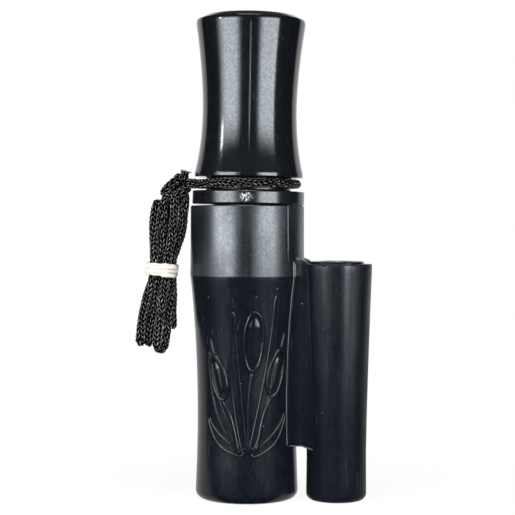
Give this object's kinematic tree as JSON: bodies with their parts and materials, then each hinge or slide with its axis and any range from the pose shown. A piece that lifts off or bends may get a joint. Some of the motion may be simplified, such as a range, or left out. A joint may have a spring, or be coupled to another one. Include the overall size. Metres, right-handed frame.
{
  "type": "duck call",
  "caption": "Hand-held duck call: a waisted barrel with a small side call moulded beside it, a flared bell insert that pulls out, and a corded lanyard folded into a banded hank.",
  "frame": {"origin": "on the plane of the two mouth ends, at the middle of the box round the rigid pieces, between the barrel's axis and the side tube's axis", "axes": "+Z from the mouth ends up to the bell, +X from the barrel to the side tube, -Y towards the side that the reeds face"},
  "size_m": [0.0671, 0.0324, 0.1369],
  "materials": {
    "barrel_plastic": "satin moulded black, glossier at the web",
    "insert_plastic": "polished black with a fine mould line",
    "tone_board_plastic": "plain moulded",
    "reed_film": "clear polyester film",
    "wedge_cork": "raw cork",
    "seal_rubber": "moulded black rubber",
    "lanyard_cord": "braided black synthetic cord",
    "band_rubber": "crinkled cream rubber"
  },
  "bodies": {
    "barrel": {"barrel": "barrel_plastic"},
    "seals": {"tenon_o_ring_upper": "seal_rubber", "tenon_o_ring_lower": "seal_rubber"},
    "insert": {"insert": "insert_plastic"},
    "tone_board": {"tone_board": "tone_board_plastic", "reed_wedge": "wedge_cork"},
    "lower_reed": {"lower_reed": "reed_film"},
    "upper_reed": {"upper_reed": "reed_film"},
    "side_insert": {"side_insert": "insert_plastic", "side_o_ring": "seal_rubber", "side_reed_wedge": "wedge_cork"},
    "side_reed": {"side_reed": "reed_film"},
    "lanyard": {"lanyard_loop": "lanyard_cord", "lanyard_knot": "lanyard_cord", "lanyard_hank": "lanyard_cord", "lanyard_band": "band_rubber"}
  },
  "joints": [
    {"name": "insert_pull", "type": "slide", "parent": "barrel", "child": "seals", "axis": [0, 0, 1], "range_m": [0, 0.062]},
    {"name": "insert_twist", "type": "hinge", "parent": "seals", "child": "insert", "pos_m": [-0.00965, 0, 0.07], "axis": [0, 0, 1], "continuous": true},
    {"name": "tone_board_pull", "type": "slide", "parent": "insert", "child": "tone_board", "axis": [0, 0, -1], "range_m": [0, 0.0235]},
    {"name": "lower_reed_flex", "type": "hinge", "parent": "tone_board", "child": "lower_reed", "pos_m": [-0.00965, -0.00045, 0.0624], "axis": [1, 0, 0], "range_deg": [-1.2, 2], "stiffness_Nm_per_rad": 0.01},
    {"name": "upper_reed_flex", "type": "hinge", "parent": "tone_board", "child": "upper_reed", "pos_m": [-0.00965, -0.00105, 0.0624], "axis": [1, 0, 0], "range_deg": [-1.2, 2], "stiffness_Nm_per_rad": 0.01},
    {"name": "lanyard_swivel", "type": "hinge", "parent": "seals", "child": "lanyard", "pos_m": [-0.00965, 0, 0.08925], "axis": [0, 0, 1], "range_deg": [-120, 120]},
    {"name": "side_insert_pull", "type": "slide", "parent": "barrel", "child": "side_insert", "axis": [0, 0, 1], "range_m": [0, 0.05]},
    {"name": "side_reed_flex", "type": "hinge", "parent": "side_insert", "child": "side_reed", "pos_m": [0.01595, -0.00045, 0.0486], "axis": [1, 0, 0], "range_deg": [-1.2, 2], "stiffness_Nm_per_rad": 0.004}
  ],
  "couplings": [
    {"joint": "upper_reed_flex", "follows": "lower_reed_flex", "ratio": 1}
  ]
}
